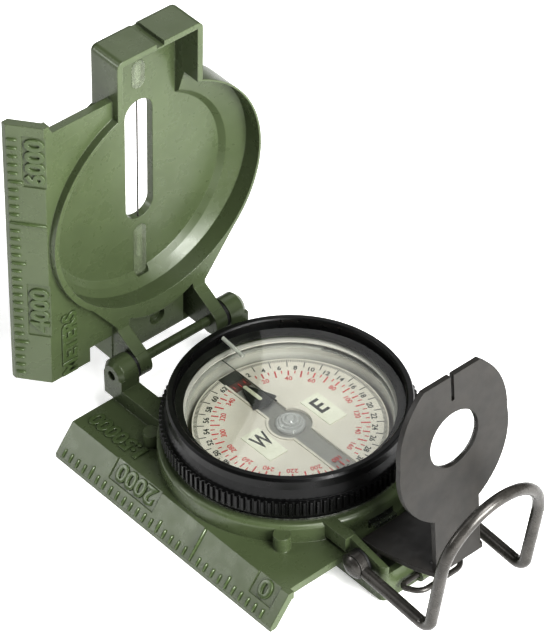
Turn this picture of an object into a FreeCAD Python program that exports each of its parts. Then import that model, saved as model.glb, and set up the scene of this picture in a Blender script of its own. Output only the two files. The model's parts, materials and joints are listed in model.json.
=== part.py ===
import FreeCAD, Part
import math
import os
import re

import Sketcher

# Sighting compass, in millimetres.  The origin is on the dial's axis at the underside of the case.
# +Y is the sighting direction, towards the cover's hinge; the straightedge is on the -X side; +Z is up.
# The cover and what it carries are modelled closed, flat over the case, then turned open about the
# hinge.  The eyepiece is modelled square to its pivot, then moved there and leant forward.

DIMENSIONS = {
    # hinge and cover attitude
    "hinge_y": 34.1,             # hinge axis, ahead of the dial's axis
    "hinge_z": 12.5,             # hinge axis, above the underside: half the closed height
    "cover_open": 88.0,          # degrees that the cover stands open
    "pin_r": 1.0,                # hinge pin
    "running_gap": 0.05,         # radial clearance of everything that turns
    "barrel_r": 3.1,
    "lug_inner": 11.9,           # case lugs, from the middle plane
    "lug_outer": 16.3,
    "arm_inner": 8.3,            # cover arms
    "arm_outer": 11.2,
    # folded straightedge flange, the same on the case and, mirrored, on the cover
    "plate_top": 6.7,
    "casting_wall": 1.7,
    "ridge_x": 26.4,
    "edge_x": 30.9,
    "edge_step": 1.0,
    "soft_edge": 1.0,            # rounding of the castings' outer edges
    "crisp_edge": 0.5,
    "corner_r": 1.5,
    "flange_front": 34.0,
    "flange_rear": 29.2,
    "plate_rear": 28.2,
    "cover_plate_rear": 27.4,
    # round case
    "cup_r": 25.7,
    "cup_top": 10.8,
    "neck_r": 22.5,
    "neck_top": 16.6,
    "well_r": 21.4,
    "well_floor": 2.0,
    "wire_groove_z": 13.5,
    "retaining_wire_r": 0.4,
    "boss_r": 1.75,
    "boss_top": 9.9,
    "boss_at": 18.9,             # the bosses stand this far out along X and Y
    "number_pad": 0.25,          # depth of the flat pads under the distance numbers
    "pad_length": 4.3,           # from the ridge down the bevel
    "bevel_out": 0.6197,         # unit step down the bevel: outward, and down
    "bevel_down": 0.7848,
    # tail of the case, which carries the eyepiece and thumb loop
    "tail_half": 10.5,
    "tail_wall": 1.4,
    "tail_end": 37.7,
    "tail_floor": 1.5,
    "tail_rear_top": 8.7,
    "pad_half": 11.7,
    "pivot_back": 31.8,          # pivot of the eyepiece and thumb loop, behind the dial's axis
    "pivot_z": 7.0,
    "rivet_r": 1.1,
    "rivet_head_r": 2.5,
    "rivet_head_rise": 1.1,
    # dial lock lever
    "lever_back": 23.55,
    "lever_z": 6.9,
    "lever_pin_r": 0.5,
    "lever_half": 2.8,
    "lever_sheet": 0.6,
    # lanyard bail
    "bail_back": 38.6,
    "bail_z": 3.2,
    "bail_wire_r": 0.55,
    "bail_half": 7.4,
    "bail_reach": 3.8,
    "knuckle_half": 2.6,
    "knuckle_r": 1.5,
    # what fills the well, from the floor up
    "damper_r": 21.35,
    "damper_wall": 0.8,
    "damper_bottom": 2.0,
    "liner_r": 20.5,
    "liner_wall": 0.7,
    "well_fill_top": 15.0,
    "gasket_top": 15.3,
    "crystal_top": 16.3,
    "crystal_r": 21.35,
    "window_r": 20.4,            # clear opening over the dial
    # bezel
    "bezel_bottom": 11.3,
    "bezel_seat": 16.8,
    "bezel_flange_z": 17.8,      # lower edge of the flange that the glass rests on
    "bezel_flange_top": 18.2,
    "bezel_gasket_top": 18.4,
    "bezel_glass_top": 19.4,
    "bezel_top": 20.7,
    "bezel_glass_r": 22.1,
    "bezel_lip_r": 22.4,
    "bezel_skirt_r": 24.1,
    "bezel_crown_r": 23.3,
    "bezel_shoulder_z": 16.3,
    "knurl_r": 25.1,
    "knurl_root_r": 24.55,
    "knurl_bottom": 12.8,
    "knurl_top": 16.0,
    "bezel_turn": -4.6,          # degrees that the bezel's line stands off the sighting line
    "bezel_vial_r": 0.45,
    # dial
    "dial_r": 18.9,
    "dial_bottom": 12.6,
    "dial_top": 13.2,
    "magnet_half": 2.1,
    "magnet_reach": 16.4,
    "magnet_boss_r": 4.2,
    "magnet_top": 13.0,
    "magnet_bottom": 12.0,
    "rail": 0.5,                 # raised wall round the magnet's channel
    "rail_rise": 0.3,
    "hub_r": 1.7,
    "cap_r": 2.95,
    "cap_top": 14.9,
    "arrow_rear": 7.4,           # corners of the north arrow
    "arrow_tip": 13.6,
    "arrow_half": 2.95,
    "arrow_sheet": 0.25,
    "patch_inner": 5.4,
    "patch_outer": 9.8,
    "patch_south": 5.3,
    "patch_north": 3.2,
    "patch_rise": 0.15,
    "pivot_post_r": 1.2,
    # cover
    "cover_rim": 16.7,
    "dish_floor": 23.3,
    "dish_r": 24.9,              # mouth of the dish, around the bezel
    "dish_lip_z": 20.6,          # where its wall starts to lean in
    "dish_toe_r": 22.0,          # foot of the leaning wall
    "dish_toe_z": 22.2,
    "dish_toe_x": -0.9,          # the foot isn't concentric with the mouth
    "dish_toe_y": 1.6,
    "cover_r": 25.7,
    "cover_shift": 0.3,          # the rim is thicker towards the flange and the hinge
    "brow_r": 14.5,              # the rim swells out between the hinge arms
    "brow_y": 29.2,
    "cheek_x": 19.6,             # the rim runs straight to the hinge arms from here
    "cheek_y": 16.4,
    "box_half": 10.3,
    "box_wall": 1.3,
    "box_end": 36.9,
    "slot_half": 3.4,
    "slot_rear": 19.5,
    "slot_front": 9.5,
    "wire_r": 0.15,
    "tongue_front": 37.7,
    "tongue_half": 11.4,
    "vial_r": 0.5,
    "vial_bed_half": 1.6,
    "vial_bed_depth": 1.1,
    # eyepiece, in its own frame with the pivot at the origin
    "sheet": 1.1,
    "plate_back": 15.04,         # rear face of the upright plate, behind the pivot
    "leaf_top": 3.5,
    "lens_height": 31.7,
    "lens_r": 5.9,
    "plate_half": 13.2,
    "neck_half": 5.55,
    "ear_inner": 7.8,
    "ear_outer": 8.95,
    "ear_r": 2.3,
    "eyepiece_lean": 4.86,       # degrees that the plate leans forward of upright
    # thumb loop
    "loop_half": 12.04,
    "loop_wire_r": 1.2,
    "loop_bend_back": 51.66,
    "loop_bend_z": 5.28,
    "loop_lean": 8.9,            # degrees that the loop leans backward
    "loop_rise": 28.66,          # from the bends to the top of the arch
    "loop_bend_r": 2.6,
    "eyelet_r": 2.7,
    "eyelet_half": 0.85,
}

V = FreeCAD.Vector
X_AXIS = V(1, 0, 0)
Y_AXIS = V(0, 1, 0)
Z_AXIS = V(0, 0, 1)
D = dict(DIMENSIONS)
KNURL_TEETH = 120

doc = FreeCAD.newDocument("sighting_compass")
sheet = doc.addObject("Spreadsheet::Sheet", "Dims")
for row, (alias, value) in enumerate(DIMENSIONS.items(), start=1):
    sheet.set("A%d" % row, alias)
    sheet.set("B%d" % row, str(value))
    sheet.setAlias("B%d" % row, alias)
doc.recompute()

nodes = {}


def bound(text):
    """Turn a size written with plain names into an expression on the spreadsheet's cells."""
    return re.sub(r"[a-z][a-z_0-9]*", lambda word: "Dims." + word.group(), text)


def node(label, shape_object):
    """Name a finished sub-part; its label is the file it is written to."""
    shape_object.Label = label
    nodes[label] = shape_object
    return shape_object


# ---------------------------------------------------------------- building blocks

def block(name, x, y, z):
    """A box between two (low, high) expressions along each axis."""
    solid = doc.addObject("Part::Box", name)
    for size, place, (low, high) in zip(("Length", "Width", "Height"), "xyz", (x, y, z)):
        solid.setExpression(size, bound("(%s) - (%s)" % (high, low)))
        solid.setExpression("Placement.Base." + place, bound(low))
    return solid


def rod(name, radius, low, high, axis="z", at=("0", "0")):
    """A cylinder along one axis; at gives the other two coordinates in x, y, z order."""
    solid = doc.addObject("Part::Cylinder", name)
    solid.setExpression("Radius", bound(radius))
    solid.setExpression("Height", bound("(%s) - (%s)" % (high, low)))
    turn = {"x": (Y_AXIS, 90), "y": (X_AXIS, -90), "z": (Z_AXIS, 0)}[axis]
    solid.Placement = FreeCAD.Placement(V(), FreeCAD.Rotation(*turn))
    others = [letter for letter in "xyz" if letter != axis]
    solid.setExpression("Placement.Base." + axis, bound(low))
    for letter, value in zip(others, at):
        solid.setExpression("Placement.Base." + letter, bound(value))
    return solid


def fuse(name, *parts):
    joined = doc.addObject("Part::MultiFuse", name)
    joined.Shapes = list(parts)
    joined.Refine = True
    return joined


def cut(name, base, *tools):
    result = doc.addObject("Part::Cut", name)
    result.Base = base
    result.Tool = tools[0] if len(tools) == 1 else fuse(name + "_tools", *tools)
    result.Refine = True
    return result


def rounded(piece, radius, *axes, near=None):
    """Round a piece's straight edges along the given axes, or only those that near() accepts."""
    doc.recompute()
    chosen = []
    for number, edge in enumerate(piece.Shape.Edges, start=1):
        if edge.Curve.TypeId == "Part::GeomLine":
            run = edge.Vertexes[-1].Point - edge.Vertexes[0].Point
            along = "xyz"[max(range(3), key=lambda k: abs(run[k]))]
        else:
            along = "round"
        if along in axes and (near is None or near(edge.CenterOfMass)):
            chosen.append((number, radius, radius))
    fillet = doc.addObject("Part::Fillet", piece.Name + "_rounded")
    fillet.Base = piece
    fillet.Edges = chosen
    return fillet


def profile(body, plane, points, offset=None):
    """A closed sketch of straight lines, every corner bound to the spreadsheet."""
    sketch = body.newObject("Sketcher::SketchObject", body.Name + "_profile")
    origin_plane = [item for item in body.Origin.OriginFeatures if item.Role == plane][0]
    sketch.AttachmentSupport = [(origin_plane, "")]
    sketch.MapMode = "FlatFace"
    count = len(points)
    start = [V(math.cos(2 * math.pi * k / count), math.sin(2 * math.pi * k / count), 0)
             for k in range(count)]
    for k in range(count):
        sketch.addGeometry(Part.LineSegment(start[k], start[(k + 1) % count]))
    for k in range(count):
        sketch.addConstraint(Sketcher.Constraint("Coincident", k, 2, (k + 1) % count, 1))
    for k, pair in enumerate(points):
        for kind, value in zip(("DistanceX", "DistanceY"), pair):
            index = sketch.addConstraint(Sketcher.Constraint(kind, -1, 1, k, 1, 1.0))
            sketch.setExpression("Constraints[%d]" % index, bound(value))
    if offset is not None:
        sketch.setExpression("AttachmentOffset.Base.z", bound(offset))
    return sketch


def turned(name, points):
    """A body of revolution about Z from (radius, height) corners."""
    body = doc.addObject("PartDesign::Body", name)
    spin = body.newObject("PartDesign::Revolution", name + "_revolution")
    sketch = profile(body, "XZ_Plane", points)
    spin.Profile = sketch
    spin.ReferenceAxis = (sketch, ["V_Axis"])
    spin.Angle = 360
    body.Tip = spin
    return body


def ring(name, inner, outer, bottom, top):
    return turned(name, [(inner, bottom), (outer, bottom), (outer, top), (inner, top)])


def prism(name, plane, points, length, offset=None):
    """A padded profile; its length runs along the plane's own normal."""
    body = doc.addObject("PartDesign::Body", name)
    pad = body.newObject("PartDesign::Pad", name + "_pad")
    pad.Profile = profile(body, plane, points, offset)
    pad.setExpression("Length", bound(length))
    body.Tip = pad
    return body


def obround(name, half_width, rear, front, bottom, top):
    """A slot-shaped solid along Y with half-round ends."""
    middle = block(name + "_middle", ("-(%s)" % half_width, half_width),
                   ("%s + %s" % (rear, half_width), "%s - %s" % (front, half_width)), (bottom, top))
    ends = [rod("%s_end_%d" % (name, k), half_width, bottom, top, at=("0", place))
            for k, place in enumerate(("%s + %s" % (rear, half_width),
                                       "%s - %s" % (front, half_width)))]
    return fuse(name, middle, *ends)


def both_sides(make):
    """The same piece on the -X and the +X side."""
    return [make("left", -1), make("right", 1)]


def span(side, low, high):
    """An x range given for the +X side, put on either side."""
    return (low, high) if side > 0 else ("-(%s)" % high, "-(%s)" % low)


def placed(label, piece, placement):
    """Name a piece modelled in a frame of its own, and put that frame where it belongs."""
    holder = doc.addObject("Part::Compound", label)
    holder.Links = [piece]
    holder.Placement = placement
    return node(label, holder)


# The cover closed to the cover open, about the hinge axis.
COVER_FRAME = FreeCAD.Placement(V(), FreeCAD.Rotation(X_AXIS, -D["cover_open"]),
                                V(0, D["hinge_y"], D["hinge_z"]))
# A plate square to its pivot to the plate leant forward on the pivot.
EYEPIECE_FRAME = FreeCAD.Placement(V(0, -D["pivot_back"], D["pivot_z"]),
                                   FreeCAD.Rotation(X_AXIS, -D["eyepiece_lean"]))
BEZEL_FRAME = FreeCAD.Placement(V(), FreeCAD.Rotation(Z_AXIS, D["bezel_turn"]))


def number_pad(name, rear, front, mirrored):
    """Cutter for a shallow flat on the bevel of the case or, mirrored in height, of the cover."""
    corners = []
    for along, outward in (("-0.4", "-number_pad"), ("pad_length", "-number_pad"),
                           ("pad_length", "1"), ("-0.4", "1")):
        x = "-ridge_x - bevel_out * (%s) - bevel_down * (%s)" % (along, outward)
        z = "plate_top - bevel_down * (%s) + bevel_out * (%s)" % (along, outward)
        corners.append((x, "2 * hinge_z - (%s)" % z if mirrored else z))
    return prism(name, "XZ_Plane", corners, "%s - (%s)" % (front, rear), "-(%s)" % front)


# ---------------------------------------------------------------- the case

def case_flange():
    """Folded straightedge: a flat plate with a bevel down to the ruled edge, hollow beneath."""
    lower = "plate_top - casting_wall"
    return prism("case_flange", "XZ_Plane",
                 [("-ridge_x + 1.3", "plate_top"), ("-ridge_x", "plate_top"),
                  ("-edge_x", "edge_step"), ("-edge_x", "0"), ("-edge_x + 1.4", "0"),
                  ("-ridge_x + 0.8", lower), ("-ridge_x + 1.3", lower)],
                 "flange_front + flange_rear", "-flange_front")


def case_plate():
    """Flat plate between the straightedge, the round case, the hinge lugs and the tail."""
    outline = [("-ridge_x + 1", "-flange_rear"), ("-ridge_x + 1.3", "-plate_rear"),
               ("-9.5", "-plate_rear"), ("-5", "-24"), ("-5", "24"), ("-9", "28"),
               ("-lug_inner", "30"), ("-lug_inner", "flange_front"),
               ("-ridge_x + 1", "flange_front")]
    return prism("case_plate", "XY_Plane", outline, "casting_wall", "plate_top - casting_wall")


def case_lug(name, side):
    """Hinge lug: a barrel with a rounded end on a web that runs back to the round case."""
    body = "plate_top - casting_wall"
    web = block("lug_web_" + name, span(side, "lug_inner", "lug_outer"),
                ("18", "hinge_y - barrel_r"), (body, "cup_top - 0.6"))
    post = block("lug_post_" + name, span(side, "lug_inner", "lug_outer"),
                 ("hinge_y - barrel_r", "hinge_y + 2.4"), (body + " + 2", "hinge_z"))
    foot = block("lug_foot_" + name, span(side, "lug_inner", "lug_outer"),
                 ("hinge_y - barrel_r", "flange_front"), (body, "hinge_z"))
    barrel = rod("lug_barrel_" + name, "barrel_r", *span(side, "lug_inner", "lug_outer - 1"),
                 axis="x", at=("hinge_y", "hinge_z"))
    end = doc.addObject("Part::Cone", "lug_end_" + name)
    end.setExpression("Radius1", bound("barrel_r"))
    end.setExpression("Radius2", bound("barrel_r - 0.9"))
    end.Height = 1
    end.Placement = FreeCAD.Placement(V(), FreeCAD.Rotation(Y_AXIS, 90 * side))
    end.setExpression("Placement.Base.x", bound("%d * (lug_outer - 1)" % side))
    end.setExpression("Placement.Base.y", bound("hinge_y"))
    end.setExpression("Placement.Base.z", bound("hinge_z"))
    return fuse("lug_" + name, web, post, foot, barrel, end)


def case_tail():
    """Open-topped box behind the round case, with a low rear wall."""
    shell = rounded(rounded(block("tail_block", ("-tail_half", "tail_half"), ("-tail_end", "-20"),
                                  ("0", "cup_top")),
                            D["corner_r"], "z", near=lambda at: at.y < -D["pivot_back"]),
                    D["crisp_edge"], "x", "y", "round", near=lambda at: at.z < D["crisp_edge"])
    room = block("tail_room", ("-tail_half + tail_wall", "tail_half - tail_wall"),
                 ("-tail_end + tail_wall", "-19"), ("tail_floor", "cup_top + 1"))
    door = block("tail_door", ("-tail_half + tail_wall", "tail_half - tail_wall"),
                 ("-tail_end - 1", "-tail_end + 2 * tail_wall"), ("pivot_z", "cup_top + 1"))
    slope = prism("tail_slope", "YZ_Plane",
                  [("-27", "cup_top"), ("-tail_end - 1", "tail_rear_top - 0.2"),
                   ("-tail_end - 1", "cup_top + 2"), ("-27", "cup_top + 2")],
                  "2 * pad_half + 2", "-pad_half - 1")
    pads = both_sides(lambda name, side: block(
        "tail_pad_" + name, span(side, "tail_half - 1", "pad_half"),
        ("-plate_rear - 0.3", "-20"), ("pivot_z + 0.6", "cup_top")))
    box = cut("tail_box", shell, room, door, slope)
    knuckle = rod("tail_knuckle", "knuckle_r", "-knuckle_half", "knuckle_half", "x",
                  ("-bail_back", "bail_z"))
    root = block("tail_knuckle_root", ("-knuckle_half", "knuckle_half"),
                 ("-bail_back", "-tail_end + 0.5"), ("bail_z - knuckle_r", "bail_z + knuckle_r"))
    return fuse("tail", box, knuckle, root, *pads)


def base_case():
    cup = rounded(rod("cup", "cup_r", "0", "cup_top"), D["soft_edge"], "round")
    neck = rod("neck", "neck_r", "cup_top - 1", "neck_top")
    bosses = [rod("boss_%s" % name, "boss_r", "plate_top - 0.5", "boss_top",
                  at=("-boss_at", "%d * boss_at" % end)) for name, end in (("rear", -1), ("front", 1))]
    solid = fuse("case_solid", cup, neck, case_flange(), case_plate(), case_tail(),
                 *(bosses + both_sides(case_lug)))
    groove = ring("neck_groove", "neck_r - retaining_wire_r", "neck_r + 1",
                  "wire_groove_z - retaining_wire_r - running_gap",
                  "wire_groove_z + retaining_wire_r + running_gap")
    well = rod("well", "well_r", "well_floor", "neck_top + 1")
    holes = [
        rod("hinge_bore", "pin_r", "-lug_outer - 1", "lug_outer - 0.7", "x", ("hinge_y", "hinge_z")),
        rod("rivet_bore", "rivet_r", "-pad_half", "pad_half", "x", ("-pivot_back", "pivot_z")),
        rod("bail_bore", "bail_wire_r + running_gap", "-knuckle_half - 1", "knuckle_half + 1", "x",
            ("-bail_back", "bail_z")),
        rod("lever_bore", "lever_pin_r", "-lever_half - 1.8", "lever_half + 1.8", "x",
            ("-lever_back", "lever_z")),
        block("lever_slot", ("-lever_half - 0.3", "lever_half + 0.3"), ("-cup_r - 1", "-20"),
              ("lever_z - 1.1", "lever_z + 1.1")),
        number_pad("pad_zero", "-27", "-21", False),
        number_pad("pad_two", "7", "20", False),
    ]
    node("base_case", cut("base_case", solid, well, groove, *holes))


# ---------------------------------------------------------------- inside the well

def well_fittings():
    lever_gap = block("damper_slot", ("-lever_half - 0.3", "lever_half + 0.3"), ("-cup_r", "-15"),
                      ("lever_z - 1.1", "lever_z + 1.9"))
    damper = turned("damper_turned",
                    [("0", "damper_bottom"), ("damper_r", "damper_bottom"),
                     ("damper_r", "well_fill_top"), ("damper_r - damper_wall", "well_fill_top"),
                     ("damper_r - damper_wall", "damper_bottom + damper_wall"),
                     ("0", "damper_bottom + damper_wall")])
    node("damping_cup", cut("damping_cup", damper, lever_gap))
    liner = ring("liner_ring", "liner_r - liner_wall", "liner_r", "damper_bottom + damper_wall",
                 "well_fill_top")
    node("dial_well_liner", cut("dial_well_liner", liner,
                                block("liner_slot", ("-lever_half - 0.3", "lever_half + 0.3"),
                                      ("-cup_r", "-15"), ("lever_z - 1.1", "lever_z + 1.9"))))
    base = "damper_bottom + damper_wall"
    node("dial_pivot", turned("dial_pivot",
                              [("0", base), ("3", base), ("3", base + " + 0.8"),
                               ("pivot_post_r", base + " + 1.2"), ("pivot_post_r", "8.2"),
                               ("0.5", "9.4"), ("0.5", "11.6"), ("0.06", "13.35"), ("0", "13.35")]))
    node("crystal_gasket", ring("crystal_gasket", "liner_r - liner_wall", "crystal_r",
                                "well_fill_top", "gasket_top"))
    node("index_crystal", rod("index_crystal", "crystal_r", "gasket_top", "crystal_top"))
    node("crystal_retainer", ring("crystal_retainer", "window_r - 0.3", "crystal_r",
                                  "crystal_top", "neck_top"))


def bezel_springs():
    node("bezel_click_spring", ring("bezel_click_spring", "neck_r + 0.1", "neck_r + 1.5",
                                    "cup_top", "bezel_bottom - 0.1"))
    wire = doc.addObject("Part::Torus", "bezel_retaining_wire")
    wire.setExpression("Radius1", bound("neck_r + running_gap"))
    wire.setExpression("Radius2", bound("retaining_wire_r - 0.02"))
    wire.setExpression("Placement.Base.z", bound("wire_groove_z"))
    node("bezel_retaining_wire", wire)


# ---------------------------------------------------------------- bezel

def bezel():
    band = turned("bezel_band",
                  [("neck_r + 0.1", "bezel_bottom"), ("bezel_skirt_r - 0.3", "bezel_bottom"),
                   ("bezel_skirt_r", "bezel_bottom + 0.4"), ("bezel_skirt_r", "bezel_shoulder_z"),
                   ("bezel_skirt_r - 0.4", "bezel_shoulder_z + 2"),
                   ("bezel_crown_r + 0.35", "bezel_top - 0.6"),
                   ("bezel_crown_r", "bezel_top"), ("bezel_lip_r", "bezel_top"),
                   ("bezel_glass_r", "bezel_top - 0.3"), ("bezel_glass_r", "bezel_flange_top"),
                   ("window_r", "bezel_flange_top"), ("window_r", "bezel_flange_z"),
                   ("neck_r + 0.1", "bezel_seat")])
    teeth = []
    for k in range(KNURL_TEETH):
        for radius, share in (("knurl_root_r", 0.0), ("knurl_root_r", 0.3),
                              ("knurl_r", 0.45), ("knurl_r", 0.85)):
            angle = 2 * math.pi * (k + share) / KNURL_TEETH
            teeth.append(V(D[radius] * math.cos(angle), D[radius] * math.sin(angle), 0))
    knurl_face = Part.Face(Part.makePolygon(teeth + teeth[:1]))
    knurl = doc.addObject("Part::Feature", "bezel_knurl")
    knurl.Shape = knurl_face.extrude(V(0, 0, D["knurl_top"] - D["knurl_bottom"]))
    knurl.Placement.Base = V(0, 0, D["knurl_bottom"])
    bore = rod("bezel_bore", "neck_r + 0.1", "bezel_bottom - 1", "bezel_seat")
    groove = ring("bezel_groove", "neck_r", "neck_r + 2 * running_gap + retaining_wire_r + 0.05",
                  "wire_groove_z - retaining_wire_r - running_gap",
                  "wire_groove_z + retaining_wire_r + running_gap")
    pieces = {
        "bezel_ring": cut("bezel_body", fuse("bezel_solid", band, knurl), bore, groove),
        "bezel_glass_gasket": ring("bezel_gasket", "window_r + 0.2", "bezel_glass_r",
                                   "bezel_flange_top", "bezel_gasket_top"),
        "bezel_glass": rod("bezel_pane", "bezel_glass_r - 0.03", "bezel_gasket_top",
                           "bezel_glass_top"),
        "bezel_line_vial": rod("bezel_vial", "bezel_vial_r", "15.2", "bezel_glass_r - 0.4", "y",
                               ("0", "bezel_glass_top + bezel_vial_r")),
    }
    for label, piece in pieces.items():
        placed(label, piece, BEZEL_FRAME)


# ---------------------------------------------------------------- dial

def magnet_shape(name, grow, bottom, top):
    """North-south bar with a round boss, grown all round by an allowance."""
    bar = block(name + "_bar", ("-magnet_half - %s" % grow, "magnet_half + %s" % grow),
                ("-magnet_reach - %s" % grow, "magnet_reach + %s" % grow), (bottom, top))
    boss = rod(name + "_boss", "magnet_boss_r + %s" % grow, bottom, top)
    return fuse(name + "_solid", bar, boss)


def dial():
    """The card and all that turns with it, its north on the sighting line."""
    raised = "dial_top + rail_rise"
    disc = rod("dial_blank", "dial_r", "dial_bottom", "dial_top")
    rails = both_sides(lambda name, side: block(
        "dial_rail_" + name, span(side, "magnet_half", "magnet_half + rail"),
        ("-magnet_reach", "magnet_reach"), ("dial_bottom", raised)))
    collar = ring("dial_collar", "magnet_boss_r", "magnet_boss_r + rail", "dial_bottom", raised)
    node("dial_disc", cut("dial_card", fuse("dial_solid", disc, collar, *rails),
                          magnet_shape("dial_channel", "0.02", "dial_bottom - 1", "dial_top + 1")))
    node("dial_magnet", cut("magnet_bored",
                            magnet_shape("magnet", "0", "magnet_bottom", "magnet_top"),
                            rod("magnet_bore", "hub_r", "magnet_bottom - 1", "magnet_top + 1")))
    node("dial_hub", turned("hub", [("0.9", "10.4"), ("hub_r", "10.4"), ("hub_r", "magnet_top"),
                                    ("1.0", "magnet_top"), ("1.0", "12.4"), ("0.9", "12.0")]))
    node("jewel_bearing", turned("jewel", [("0.2", "magnet_top"), ("1.0", "magnet_top"),
                                           ("1.0", "14.0"), ("0", "14.0"), ("0", "13.5")]))
    node("jewel_cap", turned("cap", [
        ("1.02", "magnet_top"), ("cap_r", "magnet_top"), ("cap_r", "magnet_top + 0.45"),
        ("cap_r - 0.3", "magnet_top + 0.75"), ("cap_r - 0.5", "magnet_top + 0.75"),
        ("cap_r - 0.8", "magnet_top + 1.1"), ("cap_r - 1.05", "magnet_top + 1.1"),
        ("cap_r - 1.35", "magnet_top + 1.5"), ("cap_r - 1.65", "magnet_top + 1.5"),
        ("cap_r - 2.2", "cap_top"), ("0", "cap_top"), ("0", "14.02"), ("1.02", "14.02")]))
    node("north_arrow", prism("arrow", "XY_Plane", [
        ("-arrow_half", "arrow_rear"), ("-arrow_half / 2", "arrow_rear - 0.6"),
        ("0", "arrow_rear - 0.85"), ("arrow_half / 2", "arrow_rear - 0.6"),
        ("arrow_half", "arrow_rear"), ("arrow_half / 2", "arrow_rear + 3.9"), ("0.5", "arrow_tip"),
        ("-0.5", "arrow_tip"), ("-arrow_half / 2", "arrow_rear + 3.9")], "arrow_sheet", raised))
    node("north_arrow_bridge", block("bridge", ("-magnet_half + 0.1", "magnet_half - 0.1"),
                                     ("arrow_rear", "arrow_rear + 3"), ("magnet_top", raised)))
    for label, side in (("west_patch", -1), ("east_patch", 1)):
        node(label, block(label, span(side, "patch_inner", "patch_outer"),
                          ("-patch_south", "patch_north"), ("dial_top", "dial_top + patch_rise")))


# ---------------------------------------------------------------- cover, modelled closed

def cover_arm(name, side):
    """Hinge arm: from the rim down to a barrel on the hinge axis."""
    web = prism("arm_web_" + name, "YZ_Plane",
                [("22", "2 * hinge_z - plate_top + 1"), ("22", "cover_rim"), ("28.4", "cover_rim"),
                 ("hinge_y - barrel_r + 0.3", "hinge_z - 1.1"), ("hinge_y + barrel_r - 0.3", "hinge_z"),
                 ("hinge_y + barrel_r - 0.3", "2 * hinge_z - plate_top + 1")],
                "arm_outer - arm_inner", span(side, "arm_inner", "arm_outer")[0])
    barrel = rod("arm_barrel_" + name, "barrel_r - 0.2", *span(side, "arm_inner", "arm_outer"),
                 axis="x", at=("hinge_y", "hinge_z"))
    return fuse("arm_" + name, web, barrel)


def circle(name, radius, height, x="0", y="0"):
    outline = doc.addObject("Part::Circle", name)
    outline.setExpression("Radius", bound(radius))
    for letter, value in zip("xyz", (x, y, height)):
        outline.setExpression("Placement.Base." + letter, bound(value))
    return outline


def cover_dish():
    """Hollow of the dish: a short straight mouth, a wall that leans in, and a round-bottomed foot."""
    mouth = rod("dish_mouth", "dish_r", "cover_rim - 1", "dish_lip_z")
    toe = ("dish_toe_x", "dish_toe_y")
    steps = [circle("dish_section_0", "dish_r", "dish_lip_z"),
             circle("dish_section_1", "dish_toe_r", "dish_toe_z", *toe)]
    wall = doc.addObject("Part::Loft", "dish_wall")
    wall.Sections = steps
    wall.Solid = True
    foot = doc.addObject("Part::Cone", "dish_foot")
    foot.setExpression("Radius1", bound("dish_toe_r"))
    foot.setExpression("Radius2", bound("dish_toe_r - (dish_floor - dish_toe_z)"))
    foot.setExpression("Height", bound("dish_floor - dish_toe_z"))
    for letter, value in zip("xyz", toe + ("dish_toe_z",)):
        foot.setExpression("Placement.Base." + letter, bound(value))
    return fuse("dish", mouth, wall, foot)


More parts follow.
